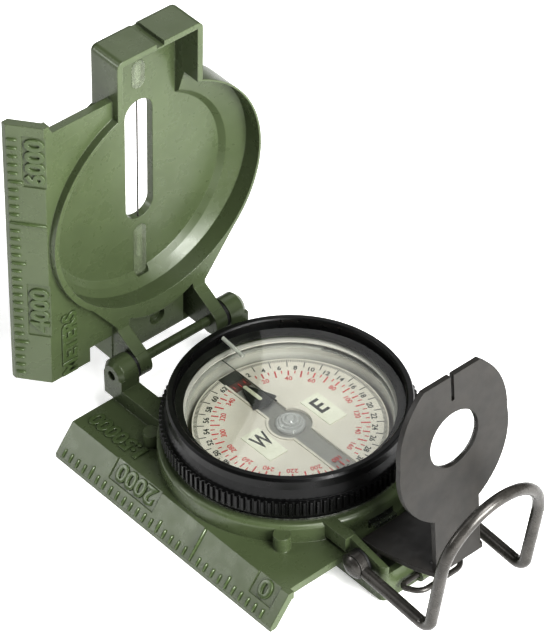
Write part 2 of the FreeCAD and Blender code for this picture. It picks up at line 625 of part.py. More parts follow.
def cover_case():
    top = "2 * hinge_z"
    plate_low = "2 * hinge_z - plate_top"
    plate_high = plate_low + " + casting_wall"
    flange = prism("cover_flange", "XZ_Plane",
                   [("-ridge_x + 1.3", plate_low), ("-ridge_x", plate_low),
                    ("-edge_x", top + " - edge_step"), ("-edge_x", top), ("-edge_x + 1.4", top),
                    ("-ridge_x + 0.8", plate_high), ("-ridge_x + 1.3", plate_high)],
                   "flange_front + flange_rear", "-flange_front")
    cheeks = both_sides(lambda name, side: prism(
        "cheek_" + name, "XY_Plane",
        [("%d * (arm_inner - 1)" % side, "18"), ("%d * cheek_x" % side, "cheek_y"),
         ("%d * arm_outer" % side, "27.6"), ("%d * arm_inner" % side, "28.4"),
         ("%d * (arm_inner - 1)" % side, "24")],
        top + " - cover_rim", "cover_rim"))
    flat = prism("cover_plate", "XY_Plane",
                 [("-ridge_x + 1", "-flange_rear"), ("-ridge_x + 2", "-cover_plate_rear"),
                  ("-box_half + 1", "-cover_plate_rear"), ("-5", "0"), ("-5", "30.5"),
                  ("-16.9", "30.5"), ("-16.9", "flange_front"), ("-ridge_x + 1", "flange_front")],
                 "casting_wall", plate_low)
    disc = rounded(rod("cover_disc", "cover_r", "cover_rim", top, at=("-cover_shift", "cover_shift")),
                   D["soft_edge"], "round", near=lambda at: at.z > D["dish_floor"])
    brow = rod("cover_brow", "brow_r", "cover_rim", top, at=("0", "brow_y - brow_r"))
    box = rounded(rounded(block("cover_box", ("-box_half", "box_half"), ("-box_end", "-20"),
                                ("cover_rim", top)),
                          D["corner_r"], "z", near=lambda at: at.y < -D["cover_r"]),
                  D["soft_edge"], "x", "y", "round", near=lambda at: at.z > D["dish_floor"])
    tongue = rounded(block("cover_tongue", ("-tongue_half", "tongue_half"), ("15", "tongue_front"),
                           (plate_low, top)),
                     D["soft_edge"], "x", "z", near=lambda at: at.y > D["hinge_y"])
    solid = fuse("cover_solid", flange, flat, disc, brow, box, tongue,
                 *(cheeks + both_sides(cover_arm)))
    channel = block("box_channel", ("-box_half + box_wall", "box_half - box_wall"),
                    ("-box_end + box_wall", "-15"), ("cover_rim - 1", "dish_floor"))
    tools = [
        cover_dish(),
        channel,
        obround("sight_slot", "slot_half", "-slot_rear", "slot_front", "dish_floor - 1", top + " + 1"),
        obround("lower_bed", "vial_bed_half", "11.4", "24.2", "dish_floor - 1",
                "dish_floor + vial_bed_depth"),
        obround("upper_bed", "vial_bed_half", "-28.8", "-22.4", "dish_floor - 1",
                "dish_floor + vial_bed_depth"),
        rod("wire_bore", "wire_r", "-slot_rear - 0.9", "slot_front + 0.9", "y",
            ("0", "dish_floor + 0.5")),
        block("sight_groove", ("-0.9", "0.9"), ("-box_end - 1", "-box_end + 0.9"),
              ("cover_rim - 1", top + " + 1")),
        rod("tongue_recess", "1.9", plate_low + " - 1", plate_low + " + 1.2", at=("0.1", "32")),
        block("tongue_pocket", ("6.9", "arm_inner"), ("28.6", "tongue_front - 1"),
              ("cover_rim", top + " - 1.2")),
        rod("arm_bore", "pin_r + running_gap", "-arm_outer - 1", "arm_outer + 1", "x",
            ("hinge_y", "hinge_z")),
        number_pad("pad_four", "9.1", "22.1", True),
        number_pad("pad_six", "-26.9", "-14.9", True),
    ]
    placed("cover_case", cut("cover_body", solid, *tools), COVER_FRAME)


def cover_fittings():
    wire = rod("cover_wire", "wire_r", "-slot_rear - 0.9", "slot_front + 0.9", "y",
               ("0", "dish_floor + 0.5"))
    placed("sighting_wire", wire, COVER_FRAME)
    for name, rear, front, tube_rear, tube_front in (
            ("lower", "11.4", "24.2", "14.5", "19.5"), ("upper", "-28.8", "-22.4", "-27.8", "-23.4")):
        middle = ("0", "dish_floor + 0.55")
        bore = rod(name + "_tube_bore", "vial_r", tube_rear, tube_front, "y", middle)
        bed = obround(name + "_bed_fill", "vial_bed_half", rear, front, "dish_floor - 0.05",
                      "dish_floor + vial_bed_depth")
        tube = rod(name + "_tube", "vial_r", tube_rear, tube_front, "y", middle)
        placed(name + "_vial_bed", cut(name + "_bed_bored", bed, bore), COVER_FRAME)
        placed(name + "_vial", tube, COVER_FRAME)


# ---------------------------------------------------------------- hinge

def hinge_fittings():
    node("hinge_pin", rod("hinge_pin", "pin_r", "-lug_outer + 0.7", "lug_outer - 0.7", "x",
                          ("hinge_y", "hinge_z")))
    washers = []
    for side in (-1, 1):
        for k, (low, high) in enumerate((("arm_outer + 0.06", "arm_outer + 0.34"),
                                         ("arm_outer + 0.38", "lug_inner - 0.02"))):
            tag = "%d_%d" % (side + 1, k)
            limits = span(side, low, high)
            blank = rod("washer_blank_" + tag, "barrel_r - 0.25", *limits, axis="x",
                        at=("hinge_y", "hinge_z"))
            hole = rod("washer_hole_" + tag, "pin_r + 0.02", "%s - 0.1" % limits[0],
                       "%s + 0.1" % limits[1], "x", ("hinge_y", "hinge_z"))
            washers.append(cut("washer_" + tag, blank, hole))
    group = doc.addObject("Part::Compound", "hinge_washers")
    group.Links = washers
    node("hinge_washers", group)


# ---------------------------------------------------------------- eyepiece

def eyepiece_plate():
    """Upright plate: an oval disc with a flat top on a neck, cut from sheet."""
    lens = D["lens_height"]
    top = lens + 14.2
    half = D["plate_half"]
    neck = D["neck_half"]
    shoulder = lens - 16.4
    foot = D["leaf_top"] - D["sheet"]

    def right(points):
        return Part.Arc(*[V(x, 0, z) for x, z in points]).toShape()

    def left(points):
        return Part.Arc(*[V(-x, 0, z) for x, z in reversed(points)]).toShape()

    upper = ((6.8, top), (11.6, lens + 8.2), (half, lens))
    lower = ((half, lens), (12.3, lens - 8.5), (neck, shoulder))
    edges = [
        Part.makeLine(V(-6.8, 0, top), V(6.8, 0, top)),
        right(upper),
        right(lower),
        Part.makeLine(V(neck, 0, shoulder), V(neck, 0, foot)),
        Part.makeLine(V(neck, 0, foot), V(-neck, 0, foot)),
        Part.makeLine(V(-neck, 0, foot), V(-neck, 0, shoulder)),
        left(lower),
        left(upper),
    ]
    plate = doc.addObject("Part::Feature", "eyepiece_plate")
    plate.Shape = Part.Face(Part.Wire(edges)).extrude(V(0, D["sheet"], 0))
    plate.Placement.Base = V(0, -D["plate_back"], 0)
    return plate


def eyepiece():
    leaf_low = "leaf_top - sheet"
    leaf = prism("eyepiece_leaf", "XY_Plane",
                 [("-neck_half - 0.5", "-plate_back"), ("neck_half + 0.5", "-plate_back"),
                  ("7.4", "-plate_back + 4"), ("ear_outer", "-ear_r"), ("ear_outer", "1.5"),
                  ("-ear_outer", "1.5"), ("-ear_outer", "-ear_r"), ("-7.4", "-plate_back + 4")],
                 "sheet", leaf_low)

    def ear(name, side):
        limits = span(side, "ear_inner", "ear_outer")
        disc = rod("ear_disc_" + name, "ear_r", *limits, axis="x", at=("0", "0"))
        web = block("ear_web_" + name, limits, ("-ear_r", "1.5"), ("0", "leaf_top"))
        return fuse("ear_" + name, disc, web)

    solid = fuse("eyepiece_solid", eyepiece_plate(), leaf, *both_sides(ear))
    notch = block("eyepiece_notch", ("-0.35", "0.35"), ("-plate_back - 1", "-plate_back + sheet + 1"),
                  ("lens_height + 8.7", "lens_height + 15"))
    lens_hole = rod("lens_hole", "lens_r", "-plate_back - 1", "-plate_back + sheet + 1", "y",
                    ("0", "lens_height"))
    relief = block("leaf_relief", ("-4.6", "-1.6"), ("-plate_back + 2.2", "-plate_back + 2.9"),
                   (leaf_low + " - 1", "leaf_top + 1"))
    pivot_hole = rod("ear_bore", "rivet_r + running_gap", "-ear_outer - 1", "ear_outer + 1", "x")
    bracket = cut("bracket", solid, notch, lens_hole, relief, pivot_hole)
    placed("eyepiece_bracket", bracket, EYEPIECE_FRAME)
    lens = turned("lens", [("0", "-0.55"), ("lens_r * 0.6", "-0.42"), ("lens_r", "-0.2"),
                                    ("lens_r", "0.2"), ("lens_r * 0.6", "0.42"), ("0", "0.55")])
    lens.Placement = FreeCAD.Placement(V(0, -D["plate_back"] + D["sheet"] / 2, D["lens_height"]),
                                       FreeCAD.Rotation(X_AXIS, 90))
    placed("eyepiece_lens", lens, EYEPIECE_FRAME)


# ---------------------------------------------------------------- thumb loop

def rounded_path(points, radii):
    """Straight runs joined by tangent arcs at the inner points."""
    edges = []
    start = points[0]
    for before, corner, after, radius in zip(points, points[1:], points[2:], radii):
        inward = (before - corner).normalize()
        outward = (after - corner).normalize()
        half = inward.getAngle(outward) / 2
        reach = radius / math.tan(half)
        first = corner + inward * reach
        last = corner + outward * reach
        bisector = (inward + outward).normalize()
        middle = corner + bisector * (radius / math.sin(half) - radius)
        if (first - start).Length > 1e-6:
            edges.append(Part.makeLine(start, first))
        edges.append(Part.Arc(first, middle, last).toShape())
        start = last
    edges.append(Part.makeLine(start, points[-1]))
    return Part.Wire(edges)


def wire_along(path, radius, start, direction):
    section = Part.Wire([Part.makeCircle(radius, start, direction)])
    return path.makePipeShell([section], True, True)


def thumb_loop():
    half = D["loop_half"]
    pivot = V(0, -D["pivot_back"], D["pivot_z"])
    bend = V(0, -D["loop_bend_back"], D["loop_bend_z"])
    lean = math.radians(D["loop_lean"])
    up = V(0, -math.sin(lean), math.cos(lean))
    top = bend + up * D["loop_rise"]
    left = V(-half, 0, 0)
    right = V(half, 0, 0)
    corners = [pivot + left, bend + left, top + left, top + right, bend + right, pivot + right]
    arch = half - 0.02
    path = rounded_path(corners, [D["loop_bend_r"], arch, arch, D["loop_bend_r"]])
    wire = wire_along(path, D["loop_wire_r"], corners[0], corners[1] - corners[0])
    bent = doc.addObject("Part::Feature", "loop_wire")
    bent.Shape = wire
    eyelets = both_sides(lambda name, side: rod(
        "loop_eyelet_" + name, "eyelet_r",
        *span(side, "loop_half - eyelet_half", "loop_half + eyelet_half"), axis="x",
        at=("-pivot_back", "pivot_z")))
    flats = both_sides(lambda name, side: rod(
        "loop_flat_" + name, "eyelet_r", *span(side, "loop_half + eyelet_half", "loop_half + 3"),
        axis="x", at=("-pivot_back", "pivot_z")))
    inner_flats = both_sides(lambda name, side: rod(
        "loop_inner_flat_" + name, "eyelet_r", *span(side, "loop_half - 3", "loop_half - eyelet_half"),
        axis="x", at=("-pivot_back", "pivot_z")))
    bore = rod("loop_bore", "rivet_r + running_gap", "-loop_half - 3", "loop_half + 3", "x",
               ("-pivot_back", "pivot_z"))
    node("thumb_loop", cut("thumb_loop", fuse("loop_solid", bent, *eyelets), bore,
                           *(flats + inner_flats)))


def pivot_fittings():
    def rivet(name, side):
        shank = rod("rivet_shank_" + name, "rivet_r",
                    *span(side, "ear_inner - 0.5", "loop_half + eyelet_half + 0.08"), axis="x",
                    at=("-pivot_back", "pivot_z"))
        tail = rod("rivet_tail_" + name, "rivet_r + 0.6",
                   *span(side, "ear_inner - 0.6", "ear_inner - 0.05"), axis="x",
                   at=("-pivot_back", "pivot_z"))
        dome = (D["rivet_head_r"] ** 2 + D["rivet_head_rise"] ** 2) / (2 * D["rivet_head_rise"])
        head = doc.addObject("Part::Sphere", "rivet_head_" + name)
        head.Radius = dome
        head.Angle1 = math.degrees(math.acos(D["rivet_head_r"] / dome))
        head.Angle2 = 90
        offset = (D["loop_half"] + D["eyelet_half"] + 0.08
                  - math.sqrt(dome ** 2 - D["rivet_head_r"] ** 2))
        head.Placement = FreeCAD.Placement(V(side * offset, -D["pivot_back"], D["pivot_z"]),
                                           FreeCAD.Rotation(Y_AXIS, 90 * side))
        return fuse("rivet_" + name, shank, tail, head)

    def washer(name, side):
        blank = rod("pivot_washer_blank_" + name, "eyelet_r",
                    *span(side, "tail_half + 0.05", "loop_half - eyelet_half - 0.06"), axis="x",
                    at=("-pivot_back", "pivot_z"))
        hole = rod("pivot_washer_hole_" + name, "rivet_r", *span(side, "tail_half - 1", "loop_half"),
                   axis="x", at=("-pivot_back", "pivot_z"))
        return cut("pivot_washer_" + name, blank, hole)

    for label, make in (("pivot_rivets", rivet), ("pivot_washers", washer)):
        group = doc.addObject("Part::Compound", label)
        group.Links = both_sides(make)
        node(label, group)


# ---------------------------------------------------------------- lock lever and lanyard bail

def lock_lever():
    low = "lever_z - lever_sheet / 2"
    high = "lever_z + lever_sheet / 2"
    strip = block("lever_strip", ("-lever_half", "lever_half"), ("-27.1", "-16"), (low, high))
    finger = block("lever_finger", ("-1.4", "1.4"), ("-16.5", "-2.4"), (low, high))
    eye = ring("lever_eye", "pivot_post_r + 0.7", "pivot_post_r + 1.8", low, high)
    knuckle = rod("lever_knuckle", "lever_pin_r + 0.45", "-lever_half", "lever_half", "x",
                  ("-lever_back", "lever_z"))
    hole = rod("lever_hole", "lever_pin_r + running_gap", "-lever_half - 1", "lever_half + 1", "x",
               ("-lever_back", "lever_z"))
    clear_post = rod("lever_post_gap", "pivot_post_r + 0.7", "lever_z - 1", "lever_z + 1")
    node("dial_lock_lever", cut("dial_lock_lever", fuse("lever_solid", strip, finger, eye, knuckle),
                                hole, clear_post))
    node("lever_pin", rod("lever_pin", "lever_pin_r", "-lever_half - 1.8", "lever_half + 1.8", "x",
                          ("-lever_back", "lever_z")))


def lanyard_bail():
    back = -D["bail_back"]
    height = D["bail_z"]
    half = D["bail_half"]
    reach = D["bail_reach"]
    corners = [V(0, back, height), V(-half, back, height), V(-half * 0.7, back - reach, height),
               V(half * 0.7, back - reach, height), V(half, back, height), V(0, back, height)]
    path = rounded_path(corners, [0.9, 2.9, 2.9, 0.9])
    bail = doc.addObject("Part::Feature", "lanyard_bail")
    bail.Shape = wire_along(path, D["bail_wire_r"], corners[0], X_AXIS)
    node("lanyard_bail", bail)


# ---------------------------------------------------------------- build, check and write

def main():
    base_case()
    well_fittings()
    bezel_springs()
    bezel()
    dial()
    cover_case()
    cover_fittings()
    hinge_fittings()
    eyepiece()
    thumb_loop()
    pivot_fittings()
    lock_lever()
    lanyard_bail()
    doc.recompute()
    for item in doc.Objects:
        if "Invalid" in item.State or "Error" in item.State:
            raise RuntimeError("%s did not build: %s" % (item.Label, item.State))
    os.makedirs("parts", exist_ok=True)
    for label, item in sorted(nodes.items()):
        shape = item.Shape
        if shape.isNull() or not shape.isValid():
            raise RuntimeError("%s has no valid shape" % label)
        shape.exportStep(os.path.join("parts", label + ".step"))
        print("%-22s %2d solid %9.2f mm3" % (label, len(shape.Solids), shape.Volume))
    print(len(nodes), "nodes")


main()
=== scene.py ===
import json
import math

import bmesh
import bpy
from mathutils import Matrix, Vector


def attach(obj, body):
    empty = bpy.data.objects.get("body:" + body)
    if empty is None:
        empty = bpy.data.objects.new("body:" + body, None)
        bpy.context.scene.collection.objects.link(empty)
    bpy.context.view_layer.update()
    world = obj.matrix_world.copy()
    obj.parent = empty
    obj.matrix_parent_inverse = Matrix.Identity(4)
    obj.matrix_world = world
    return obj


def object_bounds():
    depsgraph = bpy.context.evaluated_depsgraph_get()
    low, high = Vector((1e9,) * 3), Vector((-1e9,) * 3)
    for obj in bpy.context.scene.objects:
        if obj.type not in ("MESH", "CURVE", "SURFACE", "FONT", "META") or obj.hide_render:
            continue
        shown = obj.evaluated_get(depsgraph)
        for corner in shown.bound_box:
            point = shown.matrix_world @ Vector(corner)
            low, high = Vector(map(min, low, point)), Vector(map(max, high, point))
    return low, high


# Sighting compass: materials, printed and raised marks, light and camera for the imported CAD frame.
# Sizes are in millimetres and turned into metres by MM.  +Y is the sighting direction, -X the
# straightedge, +Z up, and the origin lies on the dial's axis at the underside of the case.

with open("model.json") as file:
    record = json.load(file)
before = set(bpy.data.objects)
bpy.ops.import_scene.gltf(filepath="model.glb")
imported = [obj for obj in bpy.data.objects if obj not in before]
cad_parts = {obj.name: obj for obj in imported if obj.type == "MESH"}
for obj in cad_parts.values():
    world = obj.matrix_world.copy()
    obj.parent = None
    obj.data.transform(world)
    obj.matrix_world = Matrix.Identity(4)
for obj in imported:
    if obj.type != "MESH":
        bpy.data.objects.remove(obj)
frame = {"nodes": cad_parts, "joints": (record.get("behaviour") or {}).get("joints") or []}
cad_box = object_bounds()

MM = 0.001
JOINTS = {joint["name"]: joint for joint in frame["joints"]}


# ---------------------------------------------------------------- shader building

NOISE_LOW = 0.3                 # most of a noise's values lie between these two
NOISE_HIGH = 0.7
PEEL_DEPTH = 0.003
SCRATCH_DEPTH = 0.003
GRAIN_DEPTH = 0.004


class Shader:
    """A material's node tree, with short calls for the nodes used here."""

    def __init__(self, name):
        self.material = bpy.data.materials.new(name)
        self.material.use_nodes = True
        self.tree = self.material.node_tree
        self.tree.nodes.clear()
        self.output = self.tree.nodes.new("ShaderNodeOutputMaterial")
        self.place = self.tree.nodes.new("ShaderNodeTexCoord").outputs["Object"]

    def node(self, kind, settings=None, **inputs):
        made = self.tree.nodes.new(kind)
        for key, value in (settings or {}).items():
            setattr(made, key, value)
        for key, value in inputs.items():
            self.feed(made.inputs[key.replace("_", " ")], value)
        return made

    def feed(self, socket, value):
        if isinstance(value, bpy.types.NodeSocket):
            self.tree.links.new(value, socket)
        else:
            socket.default_value = value

    def noise(self, per_mm, detail=3.0, stretch=None):
        """Noise with that many features in a millimetre, from 0 to 1."""
        place = self.place
        if stretch:
            place = self.node("ShaderNodeMapping", Vector=place, Scale=stretch).outputs[0]
        return self.node("ShaderNodeTexNoise", Vector=place, Scale=per_mm / MM,
                         Detail=detail, Roughness=0.55).outputs["Fac"]

    def band(self, value, low, high):
        """Spread a noise over a range of numbers."""
        return self.node("ShaderNodeMapRange", Value=value, From_Min=NOISE_LOW, From_Max=NOISE_HIGH,
                         To_Min=low, To_Max=high).outputs[0]

    def ramp(self, value, dark, light, low=NOISE_LOW, high=NOISE_HIGH):
        """Spread a noise over two colours."""
        made = self.node("ShaderNodeValToRGB", Fac=value)
        for point, place, colour in zip(made.color_ramp.elements, (low, high), (dark, light)):
            point.position = place
            point.color = tuple(colour) + (1.0,)
        return made.outputs["Color"]

    def bump(self, height, depth_mm, edge_mm=0.0):
        """Fine relief, over edges that are rounded by a small radius."""
        relief = self.node("ShaderNodeBump", Height=height, Distance=depth_mm * MM, Strength=1.0)
        if edge_mm:
            soft = self.node("ShaderNodeBevel", {"samples": 6}, Radius=edge_mm * MM)
            self.tree.links.new(soft.outputs["Normal"], relief.inputs["Normal"])
        return relief.outputs["Normal"]

    def principled(self, **inputs):
        surface = self.node("ShaderNodeBsdfPrincipled", **inputs)
        self.tree.links.new(surface.outputs[0], self.output.inputs["Surface"])
        return self.material


def darkened(colour, factor):
    return tuple(channel * factor for channel in colour)


def enamel(name, dark, light, rough, edge_mm=0.25):
    """Sprayed enamel: slightly uneven colour, orange peel, dust-dulled patches."""
    s = Shader(name)
    tone = s.ramp(s.noise(0.12, 4.0), dark, light)
    peel = s.noise(1.1, 2.0)
    return s.principled(Base_Color=tone, Roughness=s.band(s.noise(0.3, 5.0), *rough),
                        Specular_IOR_Level=0.5, Normal=s.bump(peel, PEEL_DEPTH, edge_mm))


def satin_black(name, dark, light, rough, edge_mm=0.2, metallic=0.0, per_mm=2.5, gloss=0.5):
    """Black finish on metal: faint brown or blue mottling and a very fine grain."""
    s = Shader(name)
    tone = s.ramp(s.noise(0.35, 5.0), dark, light, 0.32, 0.68)
    return s.principled(Base_Color=tone, Metallic=metallic, Specular_IOR_Level=gloss,
                        Roughness=s.band(s.noise(0.5, 4.0), *rough),
                        Normal=s.bump(s.noise(per_mm, 4.0), GRAIN_DEPTH, edge_mm))


def bare_metal(name, dark, light, rough, stretch=None, per_mm=1.5):
    """Bright metal with drawn or turned scratches."""
    s = Shader(name)
    scratch = s.noise(per_mm, 5.0, stretch)
    return s.principled(Base_Color=s.ramp(scratch, dark, light), Metallic=1.0,
                        Roughness=s.band(scratch, *rough), Normal=s.bump(scratch, SCRATCH_DEPTH))


def moulded(name, dark, light, rough, per_mm=0.5, grain_mm=0.006, edge_mm=0.0):
    """Moulded plastic: soft tone changes and a fine matt grain."""
    s = Shader(name)
    tone = s.ramp(s.noise(per_mm, 3.0), dark, light)
    return s.principled(Base_Color=tone, Roughness=s.band(s.noise(1.3, 3.0), *rough),
                        Normal=s.bump(s.noise(3.0, 3.0), grain_mm, edge_mm))


def clear(name, tint, rough, ior=1.5, haze=0.0, smear=0.1, milk=(0.9, 0.9, 0.88, 1.0)):
    """Clear sheet: see-through by Fresnel, with faint smears; haze mixes in a milky body."""
    s = Shader(name)
    marks = s.noise(smear, 4.0)
    through = s.node("ShaderNodeBsdfTransparent", Color=s.ramp(marks, darkened(tint, 0.985), tint))
    gloss = s.node("ShaderNodeBsdfGlossy", Roughness=s.band(marks, rough * 0.7, rough * 1.3))
    shine = s.node("ShaderNodeFresnel", IOR=ior).outputs[0]
    # a ray leaving the sheet would see total reflection, so only its outer side shines
    inside = s.node("ShaderNodeNewGeometry").outputs["Backfacing"]
    outer = s.node("ShaderNodeMath", {"operation": "SUBTRACT", "use_clamp": True})
    s.feed(outer.inputs[0], shine)
    s.feed(outer.inputs[1], inside)
    sheet = s.node("ShaderNodeMixShader", Fac=outer.outputs[0])
    s.tree.links.new(through.outputs[0], sheet.inputs[1])
    s.tree.links.new(gloss.outputs[0], sheet.inputs[2])
    result = sheet
    if haze:
        body = s.node("ShaderNodeBsdfPrincipled", Base_Color=milk, Roughness=0.15)
        result = s.node("ShaderNodeMixShader", Fac=haze)
        s.tree.links.new(sheet.outputs[0], result.inputs[1])
        s.tree.links.new(body.outputs[0], result.inputs[2])
    s.tree.links.new(result.outputs[0], s.output.inputs["Surface"])
    return s.material


GREEN = enamel("green_enamel", (0.066, 0.084, 0.043), (0.076, 0.096, 0.050), (0.24, 0.34))
# the raised ribs and numbers get the same enamel a little darker: painted shade on the raised marks, not
# ink
SHADED_MARK_GREEN = enamel("raised_mark_enamel_painted_shade", (0.056, 0.077, 0.033), (0.070, 0.094, 0.043), (0.20, 0.30), 0.0)
BEZEL = satin_black("anodised_black", (0.002, 0.002, 0.002), (0.004, 0.004, 0.004), (0.26, 0.36),
                    gloss=0.35)
BRACKET = satin_black("bracket_black", (0.010, 0.009, 0.007), (0.017, 0.015, 0.012), (0.36, 0.48))
WIRE = satin_black("wire_black", (0.040, 0.038, 0.034), (0.070, 0.066, 0.060), (0.22, 0.34),
                   metallic=0.4, per_mm=4.0)
WASHER = satin_black("washer_black", (0.012, 0.012, 0.012), (0.022, 0.022, 0.021), (0.45, 0.6))
RUBBER = satin_black("gasket_rubber", (0.006, 0.006, 0.006), (0.012, 0.012, 0.011), (0.5, 0.65), 0.0)
INK = satin_black("printed_black", (0.022, 0.024, 0.020), (0.040, 0.042, 0.036), (0.45, 0.6), 0.0)
ARROW = satin_black("arrow_black", (0.012, 0.014, 0.011), (0.022, 0.024, 0.019), (0.35, 0.5), 0.05)
RED = moulded("printed_red", (0.50, 0.05, 0.05), (0.62, 0.09, 0.08), (0.45, 0.6))
RED_SHADE = moulded("north_end_red", (0.050, 0.030, 0.024), (0.15, 0.055, 0.045), (0.4, 0.55), 0.4)
CARD = moulded("dial_card_white", (0.64, 0.60, 0.53), (0.72, 0.68, 0.61), (0.32, 0.45), 0.1, 0.004, 0.08)
LINER = moulded("liner_white", (0.60, 0.59, 0.54), (0.68, 0.67, 0.62), (0.35, 0.5), 0.15, 0.006, 0.08)
RING_WHITE = moulded("ring_white", (0.52, 0.51, 0.46), (0.60, 0.59, 0.54), (0.25, 0.4), 0.2, 0.004, 0.1)
PATCH = moulded("luminous_patch", (0.70, 0.69, 0.58), (0.79, 0.78, 0.68), (0.3, 0.42), 0.4, 0.004, 0.05)
STRIP = moulded("luminous_strip", (0.66, 0.66, 0.50), (0.76, 0.77, 0.62), (0.3, 0.45), 0.8)
JEWEL = moulded("jewel_red", (0.45, 0.05, 0.07), (0.60, 0.10, 0.13), (0.05, 0.1), 0.8, 0.0005)
MAGNET = bare_metal("magnet_grey", (0.46, 0.45, 0.43), (0.54, 0.53, 0.50), (0.5, 0.62),
                    (1.0, 0.15, 1.0), 2.5)
STEEL = bare_metal("bright_steel", (0.52, 0.53, 0.54), (0.70, 0.71, 0.72), (0.18, 0.3))
SPRING = bare_metal("spring_steel", (0.34, 0.34, 0.34), (0.50, 0.50, 0.49), (0.25, 0.4))
COPPER = bare_metal("bare_copper", (0.50, 0.26, 0.15), (0.64, 0.36, 0.22), (0.25, 0.42))
BRASS = bare_metal("turned_brass", (0.55, 0.40, 0.17), (0.70, 0.54, 0.26), (0.2, 0.35))
GLASS = clear("clear_glass", (0.985, 0.99, 0.985), 0.03)
LENS = clear("lens_glass", (0.985, 0.99, 0.985), 0.02)
BRIDGE = clear("clear_bridge", (0.98, 0.98, 0.97), 0.05, 1.49, 0.0, 0.8)
CAP = clear("clear_cap", (0.95, 0.95, 0.94), 0.04, 1.7, 0.45, 0.8)
TUBE = clear("clear_tube", (0.92, 0.93, 0.91), 0.05, 1.6, 0.42, 0.6, (0.62, 0.64, 0.58, 1.0))
RESIN = clear("clear_resin", (0.90, 0.92, 0.88), 0.08, 1.5, 0.30, 0.5, (0.30, 0.34, 0.24, 1.0))

NODE_MATERIALS = {
    GREEN: ("base_case", "cover_case", "hinge_pin"),
    BEZEL: ("bezel_ring",),
    SPRING: ("bezel_click_spring", "bezel_retaining_wire"),
    GLASS: ("bezel_glass", "index_crystal"),
    LENS: ("eyepiece_lens",),
    RING_WHITE: ("crystal_gasket", "crystal_retainer"),
    TUBE: ("bezel_line_vial", "upper_vial", "lower_vial"),
    COPPER: ("damping_cup",),
    LINER: ("dial_well_liner",),
    STEEL: ("dial_pivot", "dial_lock_lever", "lever_pin"),
    CARD: ("dial_disc",),
    MAGNET: ("dial_magnet",),
    BRASS: ("dial_hub",),
    JEWEL: ("jewel_bearing",),
    CAP: ("jewel_cap",),
    BRIDGE: ("north_arrow_bridge",),
    ARROW: ("north_arrow",),
    PATCH: ("east_patch", "west_patch"),
    WIRE: ("sighting_wire", "thumb_loop", "pivot_rivets", "lanyard_bail"),
    RESIN: ("upper_vial_bed", "lower_vial_bed"),
    WASHER: ("hinge_washers", "pivot_washers"),
    RUBBER: ("bezel_glass_gasket",),
    BRACKET: ("eyepiece_bracket",),
}
for surface, names in NODE_MATERIALS.items():
    for name in names:
        mesh = frame["nodes"][name].data
        mesh.materials.clear()
        mesh.materials.append(surface)


# ---------------------------------------------------------------- building small pieces

SMOOTH_DEG = 40


def axes(origin, along, up):
    """Placement with X along one direction and Y along another, in millimetres."""
    x = Vector(along).normalized()
    y = Vector(up).normalized()
    z = x.cross(y)
    turn = Matrix((x, y, z)).transposed().to_4x4()
    return Matrix.Translation(Vector(origin)) @ turn


def add_rib(bm, placement, length, width, height):
    """Raised rib with rounded top and ends, centred on the placement and lying along its Y."""
    ball = bmesh.ops.create_uvsphere(bm, u_segments=14, v_segments=8, radius=1.0)["verts"]
    stretch = length / 2 - width / 2
    for vertex in ball:
        x, y, z = vertex.co
        # the sphere's poles lie along Z, which becomes the rib's long axis
        long = z * width / 2 + math.copysign(stretch, z) * (abs(z) > 1e-6)
        vertex.co = placement @ Vector((x * width / 2, long, y * height))


def add_slab(bm, placement, size_x, size_y, low, high):
    """Thin flat block centred on the placement, between two heights."""
    corners = [Vector((x * size_x / 2, y * size_y / 2, z)) for z in (low, high)
               for x, y in ((-1, -1), (1, -1), (1, 1), (-1, 1))]
    verts = [bm.verts.new(placement @ corner) for corner in corners]
    for face in ((3, 2, 1, 0), (4, 5, 6, 7), (0, 1, 5, 4), (1, 2, 6, 5), (2, 3, 7, 6), (3, 0, 4, 7)):
        bm.faces.new([verts[k] for k in face])


def add_text(bm, text, placement, height, thick, round_mm=0.0, bold=0.0, width=None):
    """Solid lettering centred on the placement, with the given height of its capitals."""
    curve = bpy.data.curves.new("letters", "FONT")
    curve.body = text
    curve.align_x = "CENTER"
    curve.resolution_u = 4
    probe = bpy.data.objects.new("letters", curve)
    bpy.context.scene.collection.objects.link(probe)
    bpy.context.view_layer.update()
    plain_height = probe.dimensions.y
    plain_width = probe.dimensions.x
    scale = height / plain_height
    curve.offset = bold / scale
    curve.extrude = (thick / 2) / scale
    if round_mm:
        curve.bevel_depth = round_mm / scale
        curve.bevel_resolution = 2
    bpy.context.view_layer.update()
    solid = probe.evaluated_get(bpy.context.evaluated_depsgraph_get()).to_mesh()
    middle = sum((Vector(corner) for corner in probe.bound_box), Vector()) / 8
    stretch = (width / plain_width) / scale if width else 1.0
    shape = Matrix.Diagonal((scale * stretch, scale, scale, 1)) @ Matrix.Translation(-middle)
    start = len(bm.verts)
    bm.from_mesh(solid)
    bm.verts.ensure_lookup_table()
    for vertex in bm.verts[start:]:
        vertex.co = placement @ (shape @ vertex.co)
    probe.to_mesh_clear()
    bpy.data.objects.remove(probe)
    bpy.data.curves.remove(curve)


def piece(name, bm, surface, body):
    """Turn a bmesh in millimetres into a piece that rides on a body."""
    bmesh.ops.scale(bm, vec=(MM, MM, MM), verts=bm.verts)
    bmesh.ops.remove_doubles(bm, verts=bm.verts, dist=1e-7)
    bmesh.ops.recalc_face_normals(bm, faces=bm.faces)
    mesh = bpy.data.meshes.new(name)
    bm.to_mesh(mesh)
    bm.free()
    mesh.polygons.foreach_set("use_smooth", [True] * len(mesh.polygons))
    mesh.set_sharp_from_angle(angle=math.radians(SMOOTH_DEG))
    mesh.materials.append(surface)
    made = bpy.data.objects.new(name, mesh)
    bpy.context.scene.collection.objects.link(made)
    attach(made, body)


# ---------------------------------------------------------------- straightedge scales

HINGE = Vector(JOINTS["cover_hinge"]["pos_m"]) / MM
COVER_OPEN = -JOINTS["cover_hinge"]["range_deg"][0]
